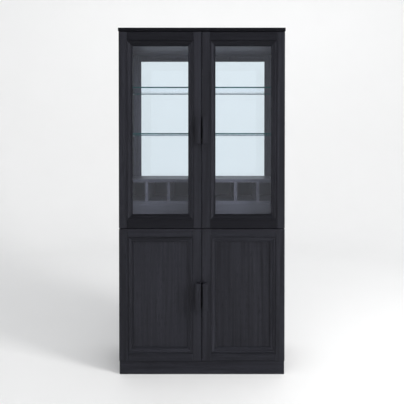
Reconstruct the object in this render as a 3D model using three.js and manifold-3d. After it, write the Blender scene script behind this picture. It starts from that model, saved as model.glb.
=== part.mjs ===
// A tall display cabinet in black-stained oak: two glazed doors over two panelled doors on a
// recessed plinth. Millimetres, +Z up, doors facing -Y. The origin is on the floor, at the
// middle of the cabinet's width and of its depth over the pulls.
import * as THREE from "three";
import { mergeVertices } from "three/addons/utils/BufferGeometryUtils.js";
import Module from "manifold-3d";

const wasm = await Module();
wasm.setup();

// Overall sizes
const width = 940; // over the side panels, and over each pair of doors
const height = 1970;
const depth = 440; // from the front of the doors to the back
const fit = 0.3; // gap between pieces that touch

// Boards
const boardThickness = 20;
const thinBoard = 18; // shelf, rack dividers and fascia
const backThickness = 12;
const capThickness = 19;
const capOverhang = 3; // past the sides and past the door fronts
const plinthHeight = 78;
const plinthInset = 0.5; // behind the face of each side panel
const plinthSetback = 10; // behind the front of the doors

// Doors
const doorThickness = 22;
const doorToCarcass = 2;
const doorToPlinth = 2;
const doorToCap = 3;
const doorToDoor = 4; // between a lower door and the upper door over it
const meetingGap = 3; // between the two doors of a pair
const lowerDoorHeight = 752;
const mouldingWidth = 31;
const upperStile = 45; // flat face, outside the moulding
const upperRail = 48;
const lowerStile = 50;
const lowerRail = 44;
const glassThickness = 4;
const panelThickness = 6;

// Moulding on the inner edge of each stile and rail, and the groove behind it for the panel
const quirkDepth = 2; // below the face of the door
const beadStep = 2; // from the foot of the ogee down to the bead
const beadWidth = 5;
const beadLip = 3.1; // wood in front of the groove
const panelFromBack = 8; // the face of the panel, in front of the back of the door
const grooveDepth = 7;

// Pulls
const pullWidth = 30;
const pullHeight = 150;
const pullDepth = 42;
const pullPlate = 12;
const pullStem = 14;
const pullFromMeeting = 4; // from the meeting edge of the door

// Concealed hinges, measured from the hinge edge and the front face of the door
const cupRadius = 17.5;
const cupDepth = 12;
const cupWall = 1.7;
const cupFromEdge = 22.5;
const flangeRadius = 21;
const flangeThickness = 1.2;
const hingeFromEnd = 100;
const armHeight = 14;
const armLength = 64; // behind the front edge of the side panel
const armWidth = 14;
const plateThickness = 2;
const plateLength = 36;
const plateHeight = 44;
const noseClearance = 0.8; // to the floor of the cup
const noseWidth = 9.5;
const linkPinFromNose = 3.5;
const linkPinRadius = 0.9;
const linkPinLength = 13;
const linkLength = 6.5;
const linkRadius = 2;
const linkHeight = 6;
const linkAngle = THREE.MathUtils.degToRad(188);

// Inside
const ceilingDrop = 49; // underside of the cap to the underside of the ceiling
const topRailDepth = 18;
const backStile = 46;
const backRail = 43.8;
const lightGap = 1.2; // between the back rail and the ceiling
const backGlass = 4;
const backGlassRebate = 8;
const middleDeckTop = 834;
const baseShelfHeight = 446;
const baseShelfSetback = 30;
const rackFloorTop = 980;
const cubbyHeight = 108;
const cubbies = 7;
const rackSetback = 80; // behind the front edges of the side panels
const shelfGlass = 8;
const shelfSetback = 60;
const shelfBackGap = 3;
const shelfSideGap = 2;
const lowerShelfShare = 0.3312; // of the way up from the rack to the ceiling
const upperShelfShare = 0.6709;

// Places that follow from the sizes
const carcassFront = doorThickness + doorToCarcass;
const innerWidth = width - 2 * boardThickness;
const capUnderside = height - capThickness;
const lowerDoorBottom = plinthHeight + doorToPlinth;
const upperDoorBottom = lowerDoorBottom + lowerDoorHeight + doorToDoor;
const upperDoorHeight = capUnderside - doorToCap - upperDoorBottom;
const doorWidth = (width - meetingGap) / 2;
const ceilingUnderside = capUnderside - ceilingDrop;
const rackTopUnderside = rackFloorTop + cubbyHeight;
const rackTopSurface = rackTopUnderside + boardThickness;
const backPanelFront = depth - backThickness;
const backPanelTop = rackTopSurface;
const backFrameFront = depth - boardThickness;
const rackFront = carcassFront + rackSetback;
const boardBack = backPanelFront - fit;
const displayHeight = ceilingUnderside - rackTopSurface;
const panelDepth = doorThickness - panelFromBack;
const beadDepth = panelDepth - fit - beadLip;
const ogeeDepth = beadDepth - beadStep;
const noseFront = doorThickness - cupDepth + cupWall + noseClearance;
const noseSide = boardThickness + fit;
const linkPinX = noseSide + noseWidth / 2;
const linkPinY = noseFront + linkPinFromNose;

const oak = new THREE.MeshStandardMaterial({ color: 0x2c2c31, roughness: 0.5, metalness: 0 });
const clearGlass = new THREE.MeshStandardMaterial({
  color: 0xc4dcdc,
  roughness: 0.04,
  metalness: 0,
  transparent: true,
  opacity: 0.3,
});
const nickel = new THREE.MeshStandardMaterial({ color: 0xb8bac0, roughness: 0.3, metalness: 1 });

// A closed geometry as a manifold-3d solid.
function solidOf(geometry) {
  const bare = geometry.clone();
  bare.deleteAttribute("normal");
  bare.deleteAttribute("uv");
  const merged = mergeVertices(bare, 1e-4);
  return new wasm.Manifold(
    new wasm.Mesh({
      numProp: 3,
      vertProperties: merged.attributes.position.array,
      triVerts: new Uint32Array(merged.index.array),
    }),
  );
}

// A manifold-3d solid as a three.js geometry.
function geometryOf(solid) {
  const mesh = solid.getMesh();
  const geometry = new THREE.BufferGeometry();
  geometry.setAttribute("position", new THREE.BufferAttribute(mesh.vertProperties, 3));
  geometry.setIndex(new THREE.BufferAttribute(mesh.triVerts, 1));
  geometry.computeVertexNormals();
  return geometry;
}

function named(name, geometry, material) {
  const mesh = new THREE.Mesh(geometry, material);
  mesh.name = name;
  return mesh;
}

// A box between two corners.
function boxBetween(low, high) {
  const size = high.map((value, i) => value - low[i]);
  const centre = high.map((value, i) => (value + low[i]) / 2);
  return new THREE.BoxGeometry(...size).translate(...centre);
}

// A flat piece cut to an outline of [x, y] points, its thickness along +Z.
function plate(outline, thickness) {
  const shape = new THREE.Shape(outline.map(([x, y]) => new THREE.Vector2(x, y)));
  return new THREE.ExtrudeGeometry(shape, { depth: thickness, bevelEnabled: false });
}

// ---------- Carcass ----------

const cabinet = new THREE.Group();
cabinet.position.y = (pullDepth - depth) / 2;

// Boards span the cabinet about its middle: half its width, then front and back, bottom and top.
function board(name, halfWidth, [front, back], [bottom, top], material = oak) {
  const shape = boxBetween([-halfWidth, front, bottom], [halfWidth, back, top]);
  cabinet.add(named(name, shape, material));
}

for (const [name, side] of [["side_panel_left", -1], ["side_panel_right", 1]]) {
  const panel = boxBetween(
    [-boardThickness / 2, carcassFront, plinthHeight + fit],
    [boardThickness / 2, depth, capUnderside - fit],
  );
  panel.translate(side * (width - boardThickness) / 2, 0, 0);
  cabinet.add(named(name, panel, oak));
}

const innerHalf = innerWidth / 2 - fit;
board("top_cap", width / 2 + capOverhang, [-capOverhang, depth], [capUnderside, height]);
board(
  "ceiling_panel",
  innerHalf,
  [carcassFront, depth],
  [ceilingUnderside, ceilingUnderside + boardThickness],
);
const topRailSpan = [ceilingUnderside + boardThickness + fit, capUnderside - fit];
board("top_rail_front", innerHalf, [carcassFront, carcassFront + topRailDepth], topRailSpan);
board("top_rail_back", innerHalf, [depth - topRailDepth, depth], topRailSpan);
board(
  "middle_deck",
  innerHalf,
  [carcassFront, boardBack],
  [middleDeckTop - boardThickness, middleDeckTop],
);
board(
  "bottom_deck",
  innerHalf,
  [carcassFront, boardBack],
  [plinthHeight + fit, plinthHeight + fit + boardThickness],
);
board("back_panel", innerHalf, [backPanelFront, depth], [plinthHeight + fit, backPanelTop]);
board(
  "base_shelf",
  innerWidth / 2 - shelfSideGap,
  [carcassFront + baseShelfSetback, boardBack],
  [baseShelfHeight, baseShelfHeight + thinBoard],
);

// The plinth is a mitred frame: a four-sided lathe ring whose corners are moved out.
function mitredFrame(outerX, outerY, member, tall) {
  const reach = 2 * member;
  const profile = [
    [reach - member, 0],
    [reach, 0],
    [reach, tall],
    [reach - member, tall],
    [reach - member, 0],
  ].map(([r, y]) => new THREE.Vector2(r * Math.SQRT2, y));
  const ring = new THREE.LatheGeometry(profile, 4, Math.PI / 4).rotateX(Math.PI / 2);
  const place = ring.attributes.position;
  for (let i = 0; i < place.count; i++) {
    place.setX(i, place.getX(i) + Math.sign(place.getX(i)) * (outerX / 2 - reach));
    place.setY(i, place.getY(i) + Math.sign(place.getY(i)) * (outerY / 2 - reach));
  }
  return ring;
}

const plinthDepth = depth - plinthSetback;
const plinth = mitredFrame(width - 2 * plinthInset, plinthDepth, boardThickness, plinthHeight);
plinth.translate(0, plinthSetback + plinthDepth / 2, 0);
cabinet.add(named("plinth_frame", plinth, oak));

// ---------- Bottle rack ----------

board(
  "rack_fascia",
  innerHalf,
  [rackFront, rackFront + thinBoard],
  [middleDeckTop + fit, rackFloorTop - boardThickness - fit],
);
board(
  "rack_floor",
  innerHalf,
  [rackFront, boardBack],
  [rackFloorTop - boardThickness, rackFloorTop],
);
board("rack_top", innerHalf, [rackFront, boardBack], [rackTopUnderside, rackTopSurface]);

const dividers = cubbies - 1;
const cubbyWidth = (innerWidth - dividers * thinBoard) / cubbies;
for (let i = 0; i < dividers; i++) {
  const left = -innerWidth / 2 + cubbyWidth + i * (cubbyWidth + thinBoard);
  const divider = boxBetween(
    [left, rackFront, rackFloorTop + fit],
    [left + thinBoard, boardBack, rackTopUnderside - fit],
  );
  cabinet.add(named("rack_divider_" + (i + 1), divider, oak));
}

// ---------- Glazed back and glass shelves ----------

// The back frame has two stiles and a top rail, grooved for the glass, and stands on the rack.
function backFrame() {
  const half = innerHalf;
  const bottom = rackTopSurface + fit;
  const top = ceilingUnderside - lightGap;
  const opening = half - backStile;
  const outline = [
    [-half, bottom],
    [-opening, bottom],
    [-opening, top - backRail],
    [opening, top - backRail],
    [opening, bottom],
    [half, bottom],
    [half, top],
    [-half, top],
  ];
  const frame = plate(outline, boardThickness).rotateX(Math.PI / 2).translate(0, depth, 0);
  const groove = boxBetween(
    [-opening - backGlassRebate - fit, backPanelFront - fit, bottom - 1],
    [opening + backGlassRebate + fit, backPanelFront + backGlass + fit,
      top - backRail + backGlassRebate + fit],
  );
  return geometryOf(solidOf(frame).subtract(solidOf(groove)));
}

cabinet.add(named("back_frame", backFrame(), oak));
board(
  "back_glass",
  innerHalf - backStile + backGlassRebate,
  [backPanelFront, backPanelFront + backGlass],
  [backPanelTop + fit, ceilingUnderside - lightGap - backRail + backGlassRebate],
  clearGlass,
);
const shelves = [["glass_shelf_lower", lowerShelfShare], ["glass_shelf_upper", upperShelfShare]];
for (const [name, share] of shelves) {
  const bottom = rackTopSurface + share * displayHeight;
  board(
    name,
    innerWidth / 2 - shelfSideGap,
    [carcassFront + shelfSetback, backFrameFront - shelfBackGap],
    [bottom, bottom + shelfGlass],
    clearGlass,
  );
}

// ---------- Doors ----------
// A door is made in its own frame: x from the hinge edge, y from the front face to the back,
// z from the bottom edge.

// Section of a stile or rail: x from its outer edge, y from the face, with the moulding worked
// on the inner edge and the groove for the panel behind it.
function memberSection(flat, infill) {
  const inner = flat + mouldingWidth;
  const ogeeEnd = inner - beadWidth;
  const third = (ogeeEnd - flat) / 3;
  const section = new THREE.Shape();
  section.moveTo(0, 0);
  section.lineTo(flat, 0);
  section.lineTo(flat, quirkDepth);
  section.bezierCurveTo(
    flat + 2 * third,
    quirkDepth,
    flat + third,
    ogeeDepth,
    ogeeEnd,
    ogeeDepth,
  );
  section.lineTo(ogeeEnd, beadDepth);
  section.lineTo(inner, beadDepth);
  section.lineTo(inner, panelDepth - fit);
  section.lineTo(inner - grooveDepth, panelDepth - fit);
  section.lineTo(inner - grooveDepth, panelDepth + infill + fit);
  section.lineTo(inner, panelDepth + infill + fit);
  section.lineTo(inner, doorThickness);
  section.lineTo(0, doorThickness);
  return section;
}

// A length of the section, cut to an outline whose x is across the member and y along it.
function member(section, length, outline) {
  const bar = new THREE.ExtrudeGeometry(section, {
    depth: length,
    bevelEnabled: false,
    curveSegments: 6,
  });
  const cutter = plate(outline, 2 * doorThickness);
  cutter.rotateX(Math.PI / 2).translate(0, 1.5 * doorThickness, 0);
  return solidOf(bar).intersect(solidOf(cutter));
}

// Stiles run the full height, with their moulding mitred to meet the rails'.
function stile(flat, railFlat, length, infill) {
  const inner = flat + mouldingWidth;
  const mitre = railFlat + mouldingWidth;
  return member(memberSection(flat, infill), length, [
    [0, 0],
    [flat, 0],
    [flat, railFlat],
    [inner, mitre],
    [inner, length - mitre],
    [flat, length - railFlat],
    [flat, length],
    [0, length],
  ]);
}

// Rails fit between the stiles.
function rail(flat, stileFlat, length, infill) {
  const inner = flat + mouldingWidth;
  const shoulder = stileFlat + fit;
  const mitre = shoulder + mouldingWidth;
  return member(memberSection(flat, infill), length, [
    [0, shoulder],
    [flat, shoulder],
    [inner, mitre],
    [inner, length - mitre],
    [flat, length - shoulder],
    [0, length - shoulder],
  ]);
}

// The pull is an upright block with a finger recess under its outer side.
function pull(bottom) {
  const inner = doorWidth - pullFromMeeting;
  const outer = inner - pullWidth;
  const outline = [
    [outer, -pullDepth],
    [inner, -pullDepth],
    [inner, -fit],
    [inner - pullStem, -fit],
    [inner - pullStem, pullPlate - pullDepth],
    [outer, pullPlate - pullDepth],
  ];
  return plate(outline, pullHeight).translate(0, 0, bottom);
}

// The cup sits in a round recess in the back of the stile, with its flange on the surface.
function hingeCup() {
  const bottom = doorThickness - cupDepth;
  const profile = [
    [0, bottom],
    [cupRadius, bottom],
    [cupRadius, doorThickness + fit],
    [flangeRadius, doorThickness + fit],
    [flangeRadius, doorThickness + fit + flangeThickness],
    [cupRadius - cupWall, doorThickness + fit + flangeThickness],
    [cupRadius - cupWall, bottom + cupWall],
    [0, bottom + cupWall],
  ].map(([r, y]) => new THREE.Vector2(r, y));
  const cup = new THREE.LatheGeometry(profile, 32);
  const mouth = 2 * (flangeRadius + 1);
  const straightEdge = boxBetween(
    [-flangeRadius - 1, 0, -mouth],
    [-cupRadius - 1, 2 * doorThickness, mouth],
  );
  return solidOf(cup).subtract(solidOf(straightEdge));
}

function cupRecess(z) {
  const tall = cupDepth + fit;
  const recess = new THREE.CylinderGeometry(cupRadius + fit, cupRadius + fit, 2 * tall, 32);
  return solidOf(recess.translate(cupFromEdge, doorThickness, z));
}

// The arm and its mounting plate are screwed to the side panel, and the forked nose reaches
// into the cup and carries the pin of the link.
function hingeArm() {
  const inside = boardThickness + fit;
  const back = carcassFront + armLength;
  const outline = [
    [inside + plateThickness, back],
    [inside + armWidth, back],
    [inside + armWidth, carcassFront + armWidth],
    [noseSide + noseWidth, carcassFront],
    [noseSide + noseWidth, noseFront],
    [noseSide, noseFront],
    [noseSide, carcassFront],
    [inside + plateThickness, carcassFront + armWidth / 2],
  ];
  const body = plate(outline, armHeight).translate(0, 0, -armHeight / 2);
  const plateFront = carcassFront + armLength / 2 - plateLength / 2;
  const base = boxBetween(
    [inside, plateFront, -plateHeight / 2],
    [inside + 2 * plateThickness, plateFront + plateLength, plateHeight / 2],
  );
  const slotHalf = linkHeight / 2 + 0.5;
  const slotReach = linkRadius + 1;
  const slot = boxBetween(
    [noseSide - 1, noseFront - 1, -slotHalf],
    [linkPinX + slotReach, linkPinY + slotReach + 1, slotHalf],
  );
  const pin = new THREE.CylinderGeometry(linkPinRadius, linkPinRadius, linkPinLength, 12);
  pin.rotateX(Math.PI / 2).translate(linkPinX, linkPinY, 0);
  return solidOf(body).add(solidOf(base)).subtract(solidOf(slot)).add(solidOf(pin));
}

// A round-ended link, turning on the pin in the nose of the arm.
function hingeLink() {
  const shape = new THREE.Shape();
  shape.absarc(0, 0, linkRadius, Math.PI / 2, 1.5 * Math.PI);
  shape.absarc(linkLength, 0, linkRadius, -Math.PI / 2, Math.PI / 2);
  const hole = new THREE.Path();
  hole.absarc(0, 0, linkPinRadius + fit, 0, 2 * Math.PI);
  shape.holes.push(hole);
  const link = new THREE.ExtrudeGeometry(shape, {
    depth: linkHeight,
    bevelEnabled: false,
    curveSegments: 8,
  });
  return link.translate(0, 0, -linkHeight / 2);
}

function door(label, tall, stileFlat, railFlat, infill, hingeHeights) {
  const group = new THREE.Group();
  const piece = (name, geometry, material) => {
    const mesh = named("door_" + label + "_" + name, geometry, material);
    group.add(mesh);
    return mesh;
  };

  const stileSolid = stile(stileFlat, railFlat, tall, infill.thickness);
  const bored = hingeHeights.reduce((wood, z) => wood.subtract(cupRecess(z)), stileSolid);
  piece("stile_hinge", geometryOf(bored), oak);
  const meeting = piece("stile_meeting", geometryOf(stileSolid), oak);
  meeting.rotation.y = Math.PI;
  meeting.position.set(doorWidth, 0, tall);

  const railSolid = rail(railFlat, stileFlat, doorWidth, infill.thickness);
  const bottomRail = piece("rail_bottom", geometryOf(railSolid), oak);
  bottomRail.rotation.y = -Math.PI / 2;
  bottomRail.position.x = doorWidth;
  const topRail = piece("rail_top", geometryOf(railSolid), oak);
  topRail.rotation.y = Math.PI / 2;
  topRail.position.z = tall;

  const lap = mouldingWidth - grooveDepth + fit;
  const sheet = boxBetween(
    [stileFlat + lap, panelDepth, railFlat + lap],
    [doorWidth - stileFlat - lap, panelDepth + infill.thickness, tall - railFlat - lap],
  );
  piece(infill.name, sheet, infill.material);
  piece("pull", pull((tall - pullHeight) / 2), oak);

  const hinge = new THREE.Group();
  hinge.position.z = hingeHeights[0];
  const cup = named("hinge_cup_" + label, geometryOf(hingeCup()), nickel);
  cup.position.x = cupFromEdge;
  const arm = named("hinge_arm_" + label, geometryOf(hingeArm()), nickel);
  const link = named("hinge_link_" + label, hingeLink(), nickel);
  link.position.set(linkPinX, linkPinY, 0);
  link.rotation.z = linkAngle;
  hinge.add(cup, arm, link);
  group.add(hinge);
  return group;
}

const glazed = { name: "glass", thickness: glassThickness, material: clearGlass };
const panelled = { name: "panel", thickness: panelThickness, material: oak };
const upperHinges = [
  upperDoorHeight - hingeFromEnd,
  upperDoorHeight / 2,
  hingeFromEnd,
];
const lowerHinges = [lowerDoorHeight - hingeFromEnd, hingeFromEnd];
for (const [side, sign] of [["left", 1], ["right", -1]]) {
  const upper = door("upper_" + side, upperDoorHeight, upperStile, upperRail, glazed, upperHinges);
  upper.position.set(-sign * width / 2, 0, upperDoorBottom);
  upper.scale.x = sign;
  const lower = door("lower_" + side, lowerDoorHeight, lowerStile, lowerRail, panelled, lowerHinges);
  lower.position.set(-sign * width / 2, 0, lowerDoorBottom);
  lower.scale.x = sign;
  cabinet.add(upper, lower);
}

const group = new THREE.Group();
group.add(cabinet);

export default group;
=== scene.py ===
# A tall display cabinet in black-stained oak: two glazed doors over two panelled doors, glass
# shelves over a bottle rack, and a recessed plinth. Metres; the doors face -Y.
import math
import bmesh
import bpy
from mathutils import Matrix, Vector


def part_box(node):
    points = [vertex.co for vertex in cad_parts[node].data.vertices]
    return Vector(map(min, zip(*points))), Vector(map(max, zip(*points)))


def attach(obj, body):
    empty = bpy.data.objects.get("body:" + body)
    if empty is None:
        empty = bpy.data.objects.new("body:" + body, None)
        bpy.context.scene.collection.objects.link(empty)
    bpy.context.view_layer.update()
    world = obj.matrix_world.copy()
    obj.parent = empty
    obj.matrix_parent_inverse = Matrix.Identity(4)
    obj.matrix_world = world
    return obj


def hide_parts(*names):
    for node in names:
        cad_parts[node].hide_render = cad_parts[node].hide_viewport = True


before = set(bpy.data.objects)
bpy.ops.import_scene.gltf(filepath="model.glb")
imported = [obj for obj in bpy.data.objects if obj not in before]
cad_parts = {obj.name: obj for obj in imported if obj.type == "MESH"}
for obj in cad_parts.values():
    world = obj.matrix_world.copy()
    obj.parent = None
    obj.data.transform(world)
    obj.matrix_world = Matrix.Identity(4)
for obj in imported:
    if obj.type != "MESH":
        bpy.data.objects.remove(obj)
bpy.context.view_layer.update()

# ---- Studio -----------------------------------------------------------------------------------
# A pale floor that curves up into a round wall, as in a photographer's cove. The camera stands
# in front of the doors, all but level and a little right of the middle.
scene = bpy.context.scene
scene.view_settings.view_transform = "Standard"

camera_data = bpy.data.cameras.new("camera")
camera_data.lens = 41.26
camera_data.shift_x = -0.0176
camera_data.shift_y = -0.120
camera = bpy.data.objects.new("camera", camera_data)
camera.location = (0.0413, -2.819, 1.289)
camera.rotation_euler = (math.radians(89.37), 0, 0)
scene.collection.objects.link(camera)
scene.camera = camera


def choose(piece, test):
    """In edit mode, selects the faces whose centre and normal pass the test, and no others."""
    bpy.ops.mesh.select_mode(type="FACE")
    bpy.ops.mesh.select_all(action="DESELECT")
    mesh = bmesh.from_edit_mesh(piece.data)
    mesh.normal_update()
    for face in mesh.faces:
        face.select_set(test(face.calc_center_median(), face.normal))
    bmesh.update_edit_mesh(piece.data)


def choose_edges(piece, test):
    """In edit mode, selects the edges whose two ends pass the test, and no others."""
    bpy.ops.mesh.select_mode(type="EDGE")
    bpy.ops.mesh.select_all(action="DESELECT")
    mesh = bmesh.from_edit_mesh(piece.data)
    for edge in mesh.edges:
        edge.select_set(test(edge.verts[0].co, edge.verts[1].co))
    bmesh.update_edit_mesh(piece.data)


cove_radius = 5.0
cove_height = 4.4
cove_bend = 1.6
bpy.ops.object.select_all(action="DESELECT")
bpy.ops.mesh.primitive_cylinder_add(
    vertices=96, radius=cove_radius, depth=cove_height, location=(0, 0, cove_height / 2)
)
cove = bpy.context.object
cove.name = cove.data.name = "studio_cove"
bpy.ops.object.transform_apply(location=True, rotation=True, scale=True)
bpy.ops.object.mode_set(mode="EDIT")
choose(cove, lambda centre, normal: normal.z > 0.5)
bpy.ops.mesh.delete(type="FACE")
choose_edges(cove, lambda a, b: a.z < 0.01 and b.z < 0.01)
bpy.ops.mesh.bevel(offset=cove_bend, segments=14, profile=0.5, affect="EDGES")
bpy.ops.mesh.select_all(action="SELECT")
bpy.ops.mesh.flip_normals()
bpy.ops.mesh.faces_shade_smooth()
bpy.ops.object.mode_set(mode="OBJECT")


class Shade:
    """A socket of a material, or its bare tree. Arithmetic on such sockets adds Math nodes."""

    def __init__(self, tree, socket=None):
        self.tree = tree
        self.socket = socket

    def node(self, kind, settings, sockets, out=0):
        made = self.tree.nodes.new("ShaderNode" + kind)
        for name, value in settings.items():
            setattr(made, name, value)
        for name, value in sockets.items():
            if isinstance(value, Shade):
                self.tree.links.new(value.socket, made.inputs[name])
            else:
                made.inputs[name].default_value = value
        return Shade(self.tree, made.outputs[out] if made.outputs else None)

    def mix(self, factor, first, second):
        sockets = {0: factor, 6: first, 7: second}
        return self.node("Mix", {"data_type": "RGBA"}, sockets, 2)

    def math(self, operation, first, second):
        return self.node("Math", {"operation": operation}, {0: first, 1: second})

    def __add__(self, other):
        return self.math("ADD", self, other)

    __radd__ = __add__

    def __mul__(self, other):
        return self.math("MULTIPLY", self, other)

    __rmul__ = __mul__

    def __sub__(self, other):
        return self.math("SUBTRACT", self, other)

    def __pow__(self, other):
        return self.math("POWER", self, other)


def blank_material(name):
    material = bpy.data.materials.new(name)
    material.use_nodes = True
    material.node_tree.nodes.clear()
    return material, Shade(material.node_tree)


cove_paint, shade = blank_material("cove_paint")
place = shade.node("TexCoord", {}, {}, "Object")
mottle = shade.node("TexNoise", {}, {"Vector": place, "Scale": 2.0, "Detail": 4.0})
paint = shade.mix(mottle, (0.84, 0.84, 0.84, 1), (0.86, 0.86, 0.86, 1))
surface = shade.node("BsdfPrincipled", {}, {"Base Color": paint, "Roughness": 0.8})
shade.node("OutputMaterial", {}, {"Surface": surface})
cove.data.materials.append(cove_paint)

sky = bpy.data.worlds.new("sky")
sky.use_nodes = True
sky.node_tree.nodes["Background"].inputs["Color"].default_value = (0.97, 0.985, 1.0, 1)
sky.node_tree.nodes["Background"].inputs["Strength"].default_value = 0.62
scene.world = sky


def softbox(name, place, target, size, power, colour):
    data = bpy.data.lights.new(name, "AREA")
    data.shape = "RECTANGLE"
    data.size, data.size_y = size
    data.energy = power
    data.color = colour
    lamp = bpy.data.objects.new(name, data)
    lamp.location = place
    lamp.rotation_euler = (Vector(target) - Vector(place)).to_track_quat("-Z", "Y").to_euler()
    lamp.visible_glossy = False
    scene.collection.objects.link(lamp)


softbox("key_softbox", (3.5, -2.3, 2.3), (0, 0, 0.9), (1.1, 1.5), 165, (1.0, 0.99, 0.98))
softbox("top_softbox", (0.2, -1.9, 4.2), (0.2, -1.7, 0), (2.6, 1.6), 36, (1.0, 1.0, 1.0))
softbox("wall_wash", (0.3, 2.4, 4.3), (0.3, 5.0, 1.6), (4.0, 0.8), 27, (1.0, 1.0, 1.0))

# ---- Plinth -----------------------------------------------------------------------------------
# Four oak boards on edge, mitred at the corners and glued into a frame. The carcass stands on
# it, and it is set back from the doors.


def stained_oak(name, grain, dark, light, sheen):
    """Open-pored oak under a black stain; grain is how far the pattern is drawn out each way."""
    material, shade = blank_material(name)
    place = shade.node("TexCoord", {}, {}, "Object")
    number = shade.node("Attribute", {"attribute_name": "board_number"}, {}, "Fac")
    apart = shade.node("CombineXYZ", {}, {0: number * 0.37, 1: number * 0.61, 2: number * 0.83})
    place = shade.node("VectorMath", {"operation": "ADD"}, {0: place, 1: apart})
    along = shade.node("Mapping", {}, {"Vector": place, "Scale": grain})
    figure = shade.node(
        "TexNoise", {}, {"Vector": along, "Scale": 9.0, "Detail": 2.0, "Distortion": 0.4}
    )
    rings = shade.math("SINE", figure * 60, 0) * 0.5 + 0.5
    fibre = shade.node("TexNoise", {}, {"Vector": along, "Scale": 230.0, "Detail": 3.0})
    cells = shade.node("TexNoise", {}, {"Vector": along, "Scale": 800.0, "Detail": 1.0})
    cells = shade.node("MapRange", {}, {0: cells, 1: 0.56, 2: 0.66, 3: 0, 4: 1})
    pores = cells * (0.25 + 0.75 * rings)
    board_tone = shade.node("TexWhiteNoise", {"noise_dimensions": "1D"}, {"W": number})
    streaks = shade.node("TexNoise", {}, {"Vector": along, "Scale": 75.0, "Detail": 3.0})
    streaks = shade.node("MapRange", {}, {0: streaks, 1: 0.30, 2: 0.70, 3: 0, 4: 1})
    tone = 0.26 * fibre + 0.16 * rings + 0.36 * streaks + 0.22 * board_tone
    colour = shade.mix(tone, dark, light)
    colour = shade.mix(pores * 0.6, colour, tuple(part * 0.35 for part in dark[:3]) + (1,))
    roughness = 0.36 + 0.12 * fibre + 0.22 * pores
    height = 0.35 * fibre - pores
    bump = shade.node("Bump", {}, {"Strength": 0.35, "Distance": 0.0003, "Height": height})
    sockets = {"Base Color": colour, "Roughness": roughness, "Normal": bump}
    sockets["Specular IOR Level"] = sheen
    surface = shade.node("BsdfPrincipled", {}, sockets)
    shade.node("OutputMaterial", {}, {"Surface": surface})
    return material


def number_board(piece):
    """Each board is cut from its own place in the tree, so that no grain runs on to the next."""
    tag = piece.data.attributes.new("board_number", "FLOAT", "POINT")
    number = sum(piece.name.encode()) % 97 / 4.3
    tag.data.foreach_set("value", [number] * len(piece.data.vertices))


def block(low, high, name="block"):
    """A box between two corners, to be shaped further."""
    low, high = Vector(low), Vector(high)
    bpy.ops.object.select_all(action="DESELECT")
    bpy.ops.mesh.primitive_cube_add(size=1, location=(low + high) / 2, scale=high - low)
    made = bpy.context.object
    made.name = made.data.name = name
    bpy.ops.object.transform_apply(location=True, rotation=True, scale=True)
    return made


def plank(name, low, high, finish, rounding=0.0008, mitres=()):
    """A squared board between two corners, cut at its mitres, with eased edges."""
    piece = block(low, high, name)
    bpy.ops.object.mode_set(mode="EDIT")
    for point, normal in mitres:
        bpy.ops.mesh.select_all(action="SELECT")
        bpy.ops.mesh.bisect(plane_co=point, plane_no=normal, use_fill=True, clear_outer=True)
    bpy.ops.mesh.select_all(action="SELECT")
    bpy.ops.mesh.bevel(offset=rounding, segments=2, profile=0.5, affect="EDGES")
    bpy.ops.object.mode_set(mode="OBJECT")
    number_board(piece)
    piece.data.materials.append(finish)
    return piece


def belong(piece, body, slot, *nodes):
    """The piece moves with the body and stands for the CAD nodes. The slot is not used."""
    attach(piece, body)
    if nodes:
        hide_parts(*nodes)


stain_dark = (0.0060, 0.0061, 0.0080, 1)
stain_light = (0.0275, 0.0282, 0.0365, 1)
drawn_out = 0.030
upright_oak = stained_oak("upright_oak", (1, 1, drawn_out), stain_dark, stain_light, 0.10)
level_oak = stained_oak("level_oak", (drawn_out, 1, 1), stain_dark, stain_light, 0.08)
deep_oak = stained_oak("deep_oak", (1, drawn_out, 1), stain_dark, stain_light, 0.08)

plinth_low, plinth_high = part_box("plinth_frame")
plinth_board = 0.020
for side, end in (("front", -1), ("back", 1)):
    y = plinth_low.y if end < 0 else plinth_high.y
    low = (plinth_low.x, min(y, y - end * plinth_board), plinth_low.z)
    high = (plinth_high.x, max(y, y - end * plinth_board), plinth_high.z)
    mitres = [
        ((plinth_low.x, y, 0), (-1, -end, 0)),
        ((plinth_high.x, y, 0), (1, -end, 0)),
    ]
    piece = plank("plinth_board_" + side, low, high, level_oak, 0.0008, mitres)
    belong(piece, "cabinet", "carcass_oak", "plinth_frame")
for side, end in (("left", -1), ("right", 1)):
    x = plinth_low.x if end < 0 else plinth_high.x
    low = (min(x, x - end * plinth_board), plinth_low.y, plinth_low.z)
    high = (max(x, x - end * plinth_board), plinth_high.y, plinth_high.z)
    mitres = [
        ((x, plinth_low.y, 0), (-end, -1, 0)),
        ((x, plinth_high.y, 0), (-end, 1, 0)),
    ]
    piece = plank("plinth_board_" + side, low, high, deep_oak, 0.0008, mitres)
    belong(piece, "cabinet", "carcass_oak", "plinth_frame")

# ---- Decks, sides, ceiling and top rails ------------------------------------------------------
# Veneered boards with solid edges, dowelled and glued between the two sides. The grain runs up
# the sides and across the rest. The ceiling takes the lighter colour given to the inside parts.
inside_dark = (0.020, 0.021, 0.029, 1)
inside_light = (0.110, 0.113, 0.150, 1)
inside_level_oak = stained_oak("inside_level_oak", (drawn_out, 1, 1), inside_dark, inside_light, 0.1)
carcass_boards = [
    ("bottom_deck", level_oak),
    ("middle_deck", level_oak),
    ("side_panel_left", upright_oak),
    ("side_panel_right", upright_oak),
    ("ceiling_panel", inside_level_oak),
    ("top_rail_front", level_oak),
    ("top_rail_back", level_oak),
    ("base_shelf", level_oak),
]
for node, finish in carcass_boards:
    piece = plank(node + "_board", *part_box(node), finish)
    belong(piece, "cabinet", "carcass_oak", node)

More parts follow.
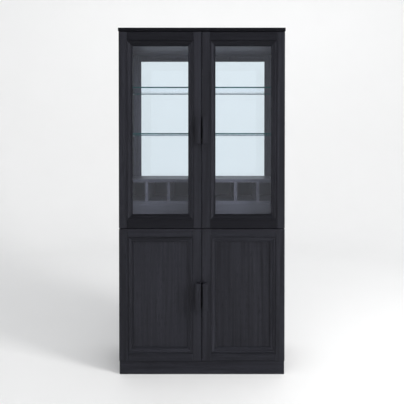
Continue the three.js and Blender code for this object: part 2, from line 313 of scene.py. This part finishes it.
# ---- Back panel -------------------------------------------------------------------------------
# One veneered panel across the lower half and the rack, screwed to the boards from behind.
panel_low, panel_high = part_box("back_panel")
piece = plank("back_panel_board", panel_low, panel_high, upright_oak)
belong(piece, "cabinet", "carcass_oak", "back_panel")

# ---- Bottle rack ------------------------------------------------------------------------------
# Seven cubbies: a floor and a top, with six dividers let in between, and a fascia that stands
# on the middle deck under the floor.
inside_deep_oak = stained_oak("inside_deep_oak", (1, drawn_out, 1), inside_dark, inside_light, 0.1)
rack_boards = [(name, inside_level_oak) for name in ("rack_floor", "rack_top", "rack_fascia")]
rack_boards += [("rack_divider_%d" % count, inside_deep_oak) for count in range(1, 7)]
for node, finish in rack_boards:
    piece = plank(node + "_board", *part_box(node), finish)
    belong(piece, "cabinet", "carcass_oak", node)

# ---- Back frame -------------------------------------------------------------------------------
# Two stiles and a top rail between them, round the back glass. The glass sits in a rebate
# behind the front lip. Nothing that would hold it from behind is modelled.
inside_upright_oak = stained_oak(
    "inside_upright_oak", (1, 1, drawn_out), inside_dark, inside_light, 0.1
)
frame_low, frame_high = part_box("back_frame")
frame_stile = 0.046
frame_rail = 0.0438
rebate_depth = 0.0123
rebate_reach = 0.0083
rail_bottom = frame_high.z - frame_rail


def ease(piece, width, segments=2):
    """Rounds off every sharp edge of the piece."""
    edges = piece.modifiers.new("eased", "BEVEL")
    edges.width = width
    edges.segments = segments
    edges.limit_method = "ANGLE"
    bpy.ops.object.select_all(action="DESELECT")
    piece.select_set(True)
    bpy.context.view_layer.objects.active = piece
    bpy.ops.object.modifier_apply(modifier=edges.name)


def frame_board(name, low, high, finish, inward):
    """A board whose front lip reaches past its body by the rebate, towards the glass."""
    inward = Vector(inward)
    split = frame_high.y - rebate_depth
    piece = block(low, high, name)
    bpy.ops.object.mode_set(mode="EDIT")
    bpy.ops.mesh.select_all(action="SELECT")
    bpy.ops.mesh.bisect(plane_co=(0, split, 0), plane_no=(0, 1, 0))
    choose(piece, lambda centre, normal: normal.dot(inward) > 0.9 and centre.y < split)
    bpy.ops.mesh.extrude_region_move(TRANSFORM_OT_translate={"value": inward * rebate_reach})
    bpy.ops.object.mode_set(mode="OBJECT")
    ease(piece, 0.0006)
    number_board(piece)
    piece.data.materials.append(finish)
    belong(piece, "cabinet", "carcass_oak", "back_frame")


body_stile = frame_stile - rebate_reach
frame_board(
    "back_frame_stile_left",
    frame_low,
    (frame_low.x + body_stile, frame_high.y, frame_high.z),
    inside_upright_oak,
    (1, 0, 0),
)
frame_board(
    "back_frame_stile_right",
    (frame_high.x - body_stile, frame_low.y, frame_low.z),
    frame_high,
    inside_upright_oak,
    (-1, 0, 0),
)
frame_board(
    "back_frame_rail",
    (frame_low.x + frame_stile, frame_low.y, rail_bottom + rebate_reach),
    (frame_high.x - frame_stile, frame_high.y, frame_high.z),
    inside_level_oak,
    (0, 0, -1),
)

# ---- Back glass -------------------------------------------------------------------------------
# A sheet of float glass in the back frame's rebate. It lets the wall behind show through.


face_gloss = 0.029


def float_glass(name, tint, smear, slant_gloss=0.96):
    """Clear sheet glass: it mirrors a little face on and much more at a slant."""
    material, shade = blank_material(name)
    place = shade.node("TexCoord", {}, {}, "Object")
    wiping = shade.node("Mapping", {}, {"Vector": place, "Scale": (1, 1, 0.35)})
    wiped = shade.node("TexNoise", {}, {"Vector": wiping, "Scale": 14.0, "Detail": 5.0})
    wave = shade.node("TexNoise", {}, {"Vector": place, "Scale": 3.0, "Detail": 0.0})
    rippled = shade.node("Bump", {}, {"Strength": 0.02, "Distance": 0.001, "Height": wave})
    slant = shade.node("LayerWeight", {}, {"Blend": 0.5}, "Facing")
    mirrored = face_gloss + slant_gloss * slant**5
    through = shade.node("BsdfTransparent", {}, {"Color": tint})
    sockets = {"Roughness": 0.01 + smear * wiped, "Normal": rippled}
    sockets["Color"] = (0.86, 0.89, 1.0, 1)
    gloss = shade.node("BsdfGlossy", {}, sockets)
    surface = shade.node("MixShader", {}, {0: mirrored, 1: through, 2: gloss})
    shade.node("OutputMaterial", {}, {"Surface": surface})
    return material


def dress(node, finish):
    """A CAD piece whose shape is right keeps it, and takes a better finish."""
    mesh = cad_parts[node].data
    mesh.materials.clear()
    mesh.materials.append(finish)


back_glass = float_glass("back_glass", (0.914, 0.963, 0.984, 1), 0.03)
dress("back_glass", back_glass)

# ---- Top cap ----------------------------------------------------------------------------------
# A solid board over everything, a few millimetres past the sides and the doors.
# Painted shade: the cap takes a far darker copy of the oak, for the little light on the top.
cap_oak = stained_oak("cap_oak", (drawn_out, 1, 1), stain_dark, (0.007, 0.007, 0.009, 1), 0.03)
piece = plank("top_cap_board", *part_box("top_cap"), cap_oak, 0.0012)
belong(piece, "cabinet", "carcass_oak", "top_cap")

# ---- Glass shelves and their pins -------------------------------------------------------------
# Toughened glass with ground and polished edges, which look dark green-blue, on steel pins in
# the sides. The wooden shelf behind the lower doors rests on the same pins.
polished_edge, shade = blank_material("polished_glass_edge")
place = shade.node("TexCoord", {}, {}, "Object")
streak = shade.node("Mapping", {}, {"Vector": place, "Scale": (0.2, 0.2, 3)})
streak = shade.node("TexNoise", {}, {"Vector": streak, "Scale": 120.0, "Detail": 3.0})
edge_colour = shade.mix(streak, (0.001, 0.045, 0.047, 1), (0.002, 0.090, 0.092, 1))
sockets = {"Base Color": edge_colour, "Roughness": 0.08 + 0.12 * streak}
sockets["Specular IOR Level"] = 0.03
surface = shade.node("BsdfPrincipled", {}, sockets)
shade.node("OutputMaterial", {}, {"Surface": surface})
shelf_glass = float_glass("shelf_glass", (0.985, 0.997, 0.996, 1), 0.02, 0.30)

corner_bevel = 0.003
arris = 0.001
for node in ("glass_shelf_lower", "glass_shelf_upper"):
    low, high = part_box(node)
    shelf = block(low, high, node + "_plate")
    shelf.data.materials.append(shelf_glass)
    shelf.data.materials.append(polished_edge)
    bpy.ops.object.mode_set(mode="EDIT")
    choose_edges(shelf, lambda a, b: abs(a.z - b.z) > 0.001)
    bpy.ops.mesh.bevel(offset=corner_bevel, segments=4, profile=0.5, affect="EDGES")
    choose(shelf, lambda centre, normal: abs(normal.z) > 0.9)
    bpy.ops.mesh.region_to_loop()
    bpy.ops.mesh.bevel(offset=arris, segments=2, profile=0.5, affect="EDGES")
    choose(shelf, lambda centre, normal: abs(normal.z) < 0.9)
    shelf.active_material_index = 1
    bpy.ops.object.material_slot_assign()
    bpy.ops.object.mode_set(mode="OBJECT")
    belong(shelf, "cabinet", "shelf_glass", node)


def brushed_nickel(name, tone, roughness):
    """Plated steel with faint drawn lines."""
    material, shade = blank_material(name)
    place = shade.node("TexCoord", {}, {}, "Object")
    drawn = shade.node("Mapping", {}, {"Vector": place, "Scale": (1, 0.06, 1)})
    lines = shade.node("TexNoise", {}, {"Vector": drawn, "Scale": 1500.0, "Detail": 2.0})
    cloud = shade.node("TexNoise", {}, {"Vector": place, "Scale": 60.0, "Detail": 3.0})
    colour = shade.mix(cloud, (tone, tone, tone * 1.01, 1), (tone * 0.8, tone * 0.8, tone * 0.82, 1))
    bump = shade.node("Bump", {}, {"Strength": 0.12, "Distance": 0.0001, "Height": lines})
    sockets = {"Base Color": colour, "Roughness": roughness + 0.12 * lines, "Normal": bump}
    sockets["Metallic"] = 1.0
    surface = shade.node("BsdfPrincipled", {}, sockets)
    shade.node("OutputMaterial", {}, {"Surface": surface})
    return material


def copied(pattern, name, shift, mirrored=False):
    """A copy of a pattern piece with its own mesh, moved and perhaps turned left for right."""
    twin = bpy.data.objects.new(name, pattern.data.copy())
    twin.data.name = name
    turn = Matrix.Scale(-1, 4, (1, 0, 0)) if mirrored else Matrix.Identity(4)
    twin.data.transform(Matrix.Translation(shift) @ turn)
    if mirrored:
        twin.data.flip_normals()
    scene.collection.objects.link(twin)
    return twin


nickel = brushed_nickel("brushed_nickel", 0.58, 0.22)
side_face = 0.450
pin_radius = 0.0025
pin_reach = 0.009
bpy.ops.object.select_all(action="DESELECT")
bpy.ops.mesh.primitive_cylinder_add(
    vertices=24,
    radius=pin_radius,
    depth=pin_reach,
    rotation=(0, math.pi / 2, 0),
    location=(pin_reach / 2 - side_face, 0, -pin_radius),
)
pin = bpy.context.object
bpy.ops.object.transform_apply(location=True, rotation=True, scale=True)
bpy.ops.object.mode_set(mode="EDIT")
choose(pin, lambda centre, normal: normal.x > 0.9)
bpy.ops.mesh.bevel(offset=0.0006, segments=3, profile=0.5, affect="EDGES")
bpy.ops.object.mode_set(mode="OBJECT")
pin.data.materials.append(nickel)

pin_inset = 0.045
for node in ("glass_shelf_lower", "glass_shelf_upper", "base_shelf"):
    low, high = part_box(node)
    for side, mirrored in (("left", False), ("right", True)):
        for end, y in (("front", low.y + pin_inset), ("back", high.y - pin_inset)):
            twin = copied(pin, "%s_pin_%s_%s" % (node, side, end), (0, y, low.z), mirrored)
            belong(twin, "cabinet", "hinge_metal")
bpy.data.objects.remove(pin)

# ---- Door frames ------------------------------------------------------------------------------
# Each door has two full-height stiles with two rails tenoned between them. A moulding runs
# round the inside of the frame, mitred at its corners: an ogee, then a bead by the panel.
door_edge = 0.470
door_wide = 0.4685
door_y = -0.199
door_thick = 0.022
tenon_gap = 0.0003
moulding_wide = 0.031
meeting_relief = 0.0006
# Each door: the side it hangs on, its bottom and top, and the widths of its stiles and rails.
doors = {
    "upper_left": (-1, 0.836, 1.948, 0.045, 0.048),
    "upper_right": (1, 0.836, 1.948, 0.045, 0.048),
    "lower_left": (-1, 0.080, 0.832, 0.050, 0.044),
    "lower_right": (1, 0.080, 0.832, 0.050, 0.044),
}


def moulding_section(infill):
    """Across the moulding and down from the door's face, from the back round to the back."""
    face = 0.0022
    quirk, quirk_floor, quirk_down = 0.0032, 0.0028, 0.0052
    ogee_end, ogee_down = 0.026, 0.0086
    bead_centre, bead_half, bead_rise, bead_down = 0.0285, 0.0025, 0.0016, 0.0112
    groove_floor, groove_front, groove_slack = 0.024, 0.0137, 0.0143
    ogee_wide = ogee_end - quirk
    section = [(0, quirk_down), (quirk_floor, quirk_down), (quirk, face)]
    for count in range(1, 13):
        t = count / 12
        s = 1 - t
        across = ogee_wide * (s * t * t + 2 * s * s * t + t**3)
        down = face * (s**3 + 3 * s * s * t) + ogee_down * (3 * s * t * t + t**3)
        section.append((quirk + across, down))
    section.append((ogee_end, bead_down))
    for count in range(1, 8):
        turn = math.pi * count / 8
        across = bead_centre - bead_half * math.cos(turn)
        section.append((across, bead_down - bead_rise * math.sin(turn)))
    section += [(moulding_wide, bead_down), (moulding_wide, groove_front)]
    section += [(groove_floor, groove_front), (groove_floor, groove_slack + infill)]
    section += [(moulding_wide, groove_slack + infill), (moulding_wide, door_thick)]
    return section


def moulding(name, corner, inward, along, length, infill, finish):
    """The section drawn along the frame from one corner to the next, and mitred at both."""
    corner, inward, along = Vector(corner), Vector(inward), Vector(along)
    spare = 0.004
    down = Vector((0, 1, 0))
    middle = corner + down * door_thick + inward * moulding_wide / 2 + along * length / 2
    across = Vector([abs(part) for part in inward]) * moulding_wide
    run = Vector([abs(part) for part in along]) * (length + 2 * spare)
    size = across + run
    bpy.ops.object.select_all(action="DESELECT")
    bpy.ops.mesh.primitive_plane_add(size=1, rotation=(math.pi / 2, 0, 0), location=middle)
    strip = bpy.context.object
    strip.name = strip.data.name = name
    strip.scale = (size.x, size.z, 1)
    bpy.ops.object.transform_apply(location=True, rotation=True, scale=True)
    bpy.ops.object.mode_set(mode="EDIT")

    def outer(end):
        return abs((end - corner).dot(inward)) < 1e-5

    choose_edges(strip, lambda a, b: outer(a) and outer(b))
    before = (0, door_thick)
    for point in moulding_section(infill):
        step = inward * (point[0] - before[0]) + down * (point[1] - before[1])
        bpy.ops.mesh.extrude_edges_move(TRANSFORM_OT_translate={"value": step})
        before = point
    bpy.ops.mesh.select_all(action="SELECT")
    bpy.ops.mesh.remove_doubles(threshold=0.00001)
    far_corner = corner + along * length
    for point, facing in ((corner, inward - along), (far_corner, inward + along)):
        bpy.ops.mesh.select_all(action="SELECT")
        bpy.ops.mesh.bisect(plane_co=point, plane_no=facing, use_fill=True, clear_outer=True)
    bpy.ops.mesh.select_all(action="SELECT")
    bpy.ops.mesh.normals_make_consistent(inside=False)
    bpy.ops.object.mode_set(mode="OBJECT")
    bpy.ops.object.shade_smooth_by_angle(angle=math.radians(28))
    number_board(strip)
    strip.data.materials.append(finish)
    return strip


glass_thick = 0.004
panel_thick = 0.006
# Painted shade: the upper doors' rails get a darker copy of the oak, for less light up there.
painted_shade_rail_light = (0.0125, 0.0127, 0.0165, 1)
rail_oak = stained_oak("rail_oak", (drawn_out, 1, 1), stain_dark, painted_shade_rail_light, 0.06)
for key, (side, bottom, top, stile, rail) in doors.items():
    body = "door_" + key
    # Painted shade: the upper doors' rails take the darker oak.
    across_oak = rail_oak if key.startswith("upper") else level_oak
    infill = glass_thick if key.startswith("upper") else panel_thick
    back = door_y + door_thick
    for part, start in (("stile_hinge", 0), ("stile_meeting", door_wide - stile)):
        reach = stile if part == "stile_hinge" else stile - meeting_relief
        ends = sorted((side * (door_edge - start), side * (door_edge - start - reach)))
        node = body + "_" + part
        piece = plank(node + "_board", (ends[0], door_y, bottom), (ends[1], back, top), upright_oak)
        belong(piece, body, "door_oak", node)
        first = start + stile if part == "stile_hinge" else start
        inward = -side if part == "stile_hinge" else side
        corner = (side * (door_edge - first), door_y, bottom + rail)
        tall = top - bottom - 2 * rail
        strip = moulding(
            node + "_moulding", corner, (inward, 0, 0), (0, 0, 1), tall, infill, upright_oak
        )
        belong(strip, body, "door_oak", node)
    shoulder = stile + tenon_gap
    ends = sorted((side * (door_edge - shoulder), side * (door_edge - door_wide + shoulder)))
    corner_x = min(side * (door_edge - stile), side * (door_edge - door_wide + stile))
    for part, low_z, edge_z, inward in (
        ("rail_bottom", bottom, bottom + rail, 1),
        ("rail_top", top - rail, top - rail, -1),
    ):
        node = body + "_" + part
        low, high = (ends[0], door_y, low_z), (ends[1], back, low_z + rail)
        piece = plank(node + "_board", low, high, across_oak)
        belong(piece, body, "door_oak", node)
        wide = door_wide - 2 * stile
        corner = (corner_x, door_y, edge_z)
        strip = moulding(
            node + "_moulding", corner, (0, 0, inward), (1, 0, 0), wide, infill, across_oak
        )
        belong(strip, body, "door_oak", node)

# ---- Door panels ------------------------------------------------------------------------------
# A flat veneered panel in each lower door, loose in the frame's groove.
for key in ("lower_left", "lower_right"):
    node = "door_%s_panel" % key
    piece = plank(node + "_board", *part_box(node), upright_oak, 0.0003)
    belong(piece, "door_" + key, "door_oak", node)

# ---- Door glass -------------------------------------------------------------------------------
# Clear glass in each upper door, in the same groove.
door_glass = float_glass("door_glass", (0.964, 0.975, 0.985, 1), 0.03)
for key in ("upper_left", "upper_right"):
    dress("door_%s_glass" % key, door_glass)

# ---- Painted seams ----------------------------------------------------------------------------
# A near-black tufted strip on the meeting edge of each left door fills the gap to the right one.
# It is painted shade: it keeps the seam as dark as the shadow in it.
seam_shade_strip, shade = blank_material("black_pile")
place = shade.node("TexCoord", {}, {}, "Object")
tufts = shade.node("TexNoise", {}, {"Vector": place, "Scale": 1400.0, "Detail": 2.0})
# Near-black, as painted shade in the seam between the doors.
seam_shade_colour = shade.mix(tufts, (0.0006, 0.0006, 0.0009, 1), (0.0020, 0.0020, 0.0028, 1))
nap = shade.node("Bump", {}, {"Strength": 0.6, "Distance": 0.0003, "Height": tufts})
sockets = {"Base Color": seam_shade_colour, "Roughness": 0.9, "Normal": nap, "Specular IOR Level": 0.05}
surface = shade.node("BsdfPrincipled", {}, sockets)
shade.node("OutputMaterial", {}, {"Surface": surface})
for key in ("upper_left", "lower_left"):
    _, bottom, top, _, _ = doors[key]
    left = door_wide - door_edge
    name = "door_%s_meeting_seal" % key
    low = (left - meeting_relief, door_y + 0.013, bottom + 0.002)
    high = (left + 0.0033, door_y + 0.019, top - 0.002)
    piece = plank(name, low, high, seam_shade_strip, 0.0005)
    belong(piece, "door_" + key, "door_oak")

# ---- Pulls ------------------------------------------------------------------------------------
# A block of the same oak by the meeting edge of each door, with a finger recess worked into its
# outer side, screwed on from inside the door.
pull_plate = 0.012
pull_stem = 0.014
for key, (side, _, _, _, _) in doors.items():
    node = "door_%s_pull" % key
    low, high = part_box(node)
    pull = block(low, (high.x, low.y + pull_plate, high.z), node + "_block")
    stem_x = high.x - pull_stem if side < 0 else low.x + pull_stem
    bpy.ops.object.mode_set(mode="EDIT")
    bpy.ops.mesh.select_all(action="SELECT")
    bpy.ops.mesh.bisect(plane_co=(stem_x, 0, 0), plane_no=(1, 0, 0))
    choose(pull, lambda centre, normal: normal.y > 0.9 and (centre.x - stem_x) * side < 0)
    stem_reach = high.y - low.y - pull_plate
    bpy.ops.mesh.extrude_region_move(TRANSFORM_OT_translate={"value": (0, stem_reach, 0)})
    bpy.ops.object.mode_set(mode="OBJECT")
    ease(pull, 0.0012, 3)
    number_board(pull)
    pull.data.materials.append(upright_oak)
    belong(pull, "door_" + key, "pull_oak", node)

# ---- Hinges -----------------------------------------------------------------------------------
# Concealed hinges, three on each upper door and two on each lower one, of nickel-plated steel.
# The cup is screwed to the stile, and the arm to a plate on the side panel. The real stile is
# bored for the cup. The stile's board here isn't, so the cup and the arm's nose run into it.
from_side = -door_edge
hinge_steel = brushed_nickel("hinge_steel", 0.62, 0.26)


def cut_away(piece, cutter):
    """Takes the cutter's shape out of the piece, and removes the cutter."""
    cut = piece.modifiers.new("cut", "BOOLEAN")
    cut.operation = "DIFFERENCE"
    cut.object = cutter
    bpy.ops.object.select_all(action="DESELECT")
    piece.select_set(True)
    bpy.context.view_layer.objects.active = piece
    bpy.ops.object.modifier_apply(modifier=cut.name)
    bpy.data.objects.remove(cutter)


def rod(centre, radius, length, turn=(0, 0, 0), sides=32):
    """A round bar, to be shaped further."""
    bpy.ops.object.select_all(action="DESELECT")
    bpy.ops.mesh.primitive_cylinder_add(
        vertices=sides, radius=radius, depth=length, rotation=turn, location=centre
    )
    bpy.ops.object.transform_apply(location=True, rotation=True, scale=True)
    return bpy.context.object


def joined(first, *others):
    """Makes the parts one piece."""
    bpy.ops.object.select_all(action="DESELECT")
    for part in (first, *others):
        part.select_set(True)
    bpy.context.view_layer.objects.active = first
    bpy.ops.object.join()
    return first


# A pan-head screw with a cross slot, its head facing +Z.
head_radius = 0.0036
screw = rod((0, 0, 0.0005), head_radius, 0.0012)
ease(screw, 0.0004)
cut_away(screw, block((-0.0019, -0.0004, 0.0004), (0.0019, 0.0004, 0.002)))
cut_away(screw, block((-0.0004, -0.0019, 0.0004), (0.0004, 0.0019, 0.002)))


def screw_at(place, turn):
    """A copy of the screw at a place, its head turned to face the way it should."""
    twin = copied(screw, "screw", (0, 0, 0))
    twin.data.transform(Matrix.Translation(place) @ turn)
    return twin


to_inside = Matrix.Rotation(math.pi / 2, 4, "Y")
to_back = Matrix.Rotation(-math.pi / 2, 4, "X")

cup_x = from_side + 0.0225
door_back = door_y + door_thick
flange = 0.0012
flange_gap = 0.0003
flange_reach = 0.0035
cup_depth = 0.0123
mouth_inset = 0.0052
hollow_depth = 0.0118
flat_side = 0.0185
flange_radius = 0.021
flange_middle = (cup_x, door_back + flange_gap + flange / 2, 0)
cup = rod(flange_middle, flange_radius, flange, (math.pi / 2, 0, 0), 64)
bpy.ops.object.mode_set(mode="EDIT")
choose(cup, lambda centre, normal: normal.y < -0.9)
bpy.ops.mesh.inset(thickness=flange_reach)
bpy.ops.mesh.extrude_region_move(TRANSFORM_OT_translate={"value": (0, -cup_depth, 0)})
choose(cup, lambda centre, normal: normal.y > 0.9)
bpy.ops.mesh.inset(thickness=mouth_inset)
bpy.ops.mesh.extrude_region_move(TRANSFORM_OT_translate={"value": (0, -hollow_depth, 0)})
bpy.ops.mesh.select_all(action="SELECT")
bpy.ops.mesh.bisect(
    plane_co=(cup_x - flat_side, 0, 0), plane_no=(-1, 0, 0), use_fill=True, clear_outer=True
)
bpy.ops.object.mode_set(mode="OBJECT")
ease(cup, 0.0003)
parts = []
for up in (-1, 1):
    ends = sorted((up * 0.0166, up * 0.031))
    ear_y = door_back + flange_gap
    ear = block((cup_x - 0.001, ear_y, ends[0]), (cup_x + 0.013, ear_y + flange, ends[1]))
    bpy.ops.object.mode_set(mode="EDIT")
    choose_edges(
        ear, lambda a, b: abs(a.y - b.y) > 0.0005 and abs(a.z) > 0.02 and abs(b.z) > 0.02
    )
    bpy.ops.mesh.bevel(offset=0.006, segments=8, profile=0.5, affect="EDGES")
    bpy.ops.object.mode_set(mode="OBJECT")
    parts += [ear, screw_at((cup_x + 0.006, ear_y + flange, up * 0.0245), to_back)]
joined(cup, *parts)

pin_x = from_side + 0.02505
pin_y = door_y + 0.016
arm_half = 0.007
arm_front = door_y + 0.038
arm_low = (from_side + 0.0223, arm_front, -arm_half)
arm = block(arm_low, (from_side + 0.0343, door_y + 0.088, arm_half))
bpy.ops.object.mode_set(mode="EDIT")
choose(arm, lambda centre, normal: normal.y < -0.9)
bpy.ops.mesh.extrude_region_move(TRANSFORM_OT_translate={"value": (-0.00325, -0.014, 0)})
bpy.ops.transform.resize(
    value=(0.0095 / 0.012, 1, 1), center_override=(from_side + 0.02505, door_y + 0.024, 0)
)
bpy.ops.mesh.extrude_region_move(TRANSFORM_OT_translate={"value": (0, -0.0115, 0)})
choose(arm, lambda centre, normal: normal.x > 0.9 and centre.y > door_y + 0.04)
bpy.ops.mesh.inset(thickness=0.002)
bpy.ops.mesh.extrude_region_move(TRANSFORM_OT_translate={"value": (-0.0022, 0, 0)})
bpy.ops.object.mode_set(mode="OBJECT")
ease(arm, 0.0006)
fork_half = 0.0035
fork_low = (from_side + 0.0193, door_y + 0.0115, -fork_half)
cut_away(arm, block(fork_low, (from_side + 0.02805, door_y + 0.020, fork_half)))
plate_half = 0.022
plate_face = from_side + 0.0243
plate_low = (from_side + 0.0203, arm_front, -plate_half)
plate = block(plate_low, (plate_face, door_y + 0.074, plate_half))
bpy.ops.object.mode_set(mode="EDIT")
choose_edges(plate, lambda a, b: abs(a.x - b.x) > 0.001)
bpy.ops.mesh.bevel(offset=0.006, segments=8, profile=0.5, affect="EDGES")
bpy.ops.object.mode_set(mode="OBJECT")
ease(plate, 0.0005)
parts = [plate, rod((pin_x, pin_y, 0), 0.0009, 0.013, sides=16)]
for y in (0.050, 0.078):
    parts.append(screw_at((from_side + 0.0321, door_y + y, 0), to_inside))
for z in (-0.0155, 0.0155):
    parts.append(screw_at((plate_face, door_y + 0.056, z), to_inside))
joined(arm, *parts)

link_turn = math.radians(188)
link_length = 0.0065
link_way = Vector((math.cos(link_turn), math.sin(link_turn), 0))
link = rod((pin_x, pin_y, 0), 0.002, 0.006, sides=24)
bpy.ops.object.mode_set(mode="EDIT")
bpy.ops.mesh.select_all(action="SELECT")
bpy.ops.mesh.bisect(plane_co=(pin_x, pin_y, 0), plane_no=link_way)
pin_centre = Vector((pin_x, pin_y, 0))
choose(link, lambda centre, normal: (centre - pin_centre).dot(link_way) > 0.0001)
bpy.ops.mesh.extrude_region_move(TRANSFORM_OT_translate={"value": link_way * link_length})
bpy.ops.object.mode_set(mode="OBJECT")
cut_away(link, rod((pin_x, pin_y, 0), 0.0012, 0.01, sides=16))

hinge_heights = {"upper": (1.848, 1.392, 0.936), "lower": (0.732, 0.180)}
for pattern, kind, holder in (
    (cup, "hinge_cup", "door_"), (arm, "hinge_arm", "cabinet"), (link, "hinge_link", "link_")
):
    pattern.data.materials.clear()
    pattern.data.materials.append(hinge_steel)
    for key, (side, _, _, _, _) in doors.items():
        body = holder if holder == "cabinet" else holder + key
        for count, height in enumerate(hinge_heights[key.split("_")[0]]):
            name = "%s_%s_%d" % (kind, key, count + 1)
            twin = copied(pattern, name, (0, 0, height), side > 0)
            nodes = ["%s_%s" % (kind, key)] if count == 0 else []
            belong(twin, body, "hinge_metal", *nodes)
    bpy.data.objects.remove(pattern)

# ---- Back-panel screws ------------------------------------------------------------------------
# The back panel is screwed to the back edges of the decks and of the rack's floor and top.
first_screw = -0.405
screw_pitch = 0.270
for row, node in enumerate(("bottom_deck", "middle_deck", "rack_floor", "rack_top")):
    low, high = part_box(node)
    for count in range(4):
        x = first_screw + screw_pitch * count
        twin = screw_at((x, panel_high.y, (low.z + high.z) / 2), to_back)
        twin.name = twin.data.name = "back_panel_screw_%d_%d" % (row + 1, count + 1)
        twin.data.materials.append(hinge_steel)
        belong(twin, "cabinet", "hinge_metal")
bpy.data.objects.remove(screw)

# ---- Levelling feet ---------------------------------------------------------------------------
# Four feet inside the plinth, screwed up into the bottom deck, take the weight on the floor.
foot_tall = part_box("bottom_deck")[0].z - 0.0005
foot_radius = 0.018
foot_pad = 0.008
foot_collar = 0.006
foot = rod((0, 0, foot_pad / 2), foot_radius, foot_pad)
bpy.ops.object.mode_set(mode="EDIT")
choose(foot, lambda centre, normal: normal.z > 0.9)
bpy.ops.mesh.inset(thickness=0.006)
bpy.ops.mesh.extrude_region_move(TRANSFORM_OT_translate={"value": (0, 0, foot_collar)})
bpy.ops.mesh.inset(thickness=0.007)
bpy.ops.mesh.extrude_region_move(TRANSFORM_OT_translate={"value": (0, 0, foot_tall - 0.014)})
bpy.ops.object.mode_set(mode="OBJECT")
ease(foot, 0.0008)
foot.data.materials.append(nickel)
for side, x in (("left", -0.42), ("right", 0.42)):
    for end, y in (("front", -0.140), ("back", 0.195)):
        twin = copied(foot, "levelling_foot_%s_%s" % (side, end), (x, y, 0))
        belong(twin, "cabinet", "hinge_metal")
bpy.data.objects.remove(foot)
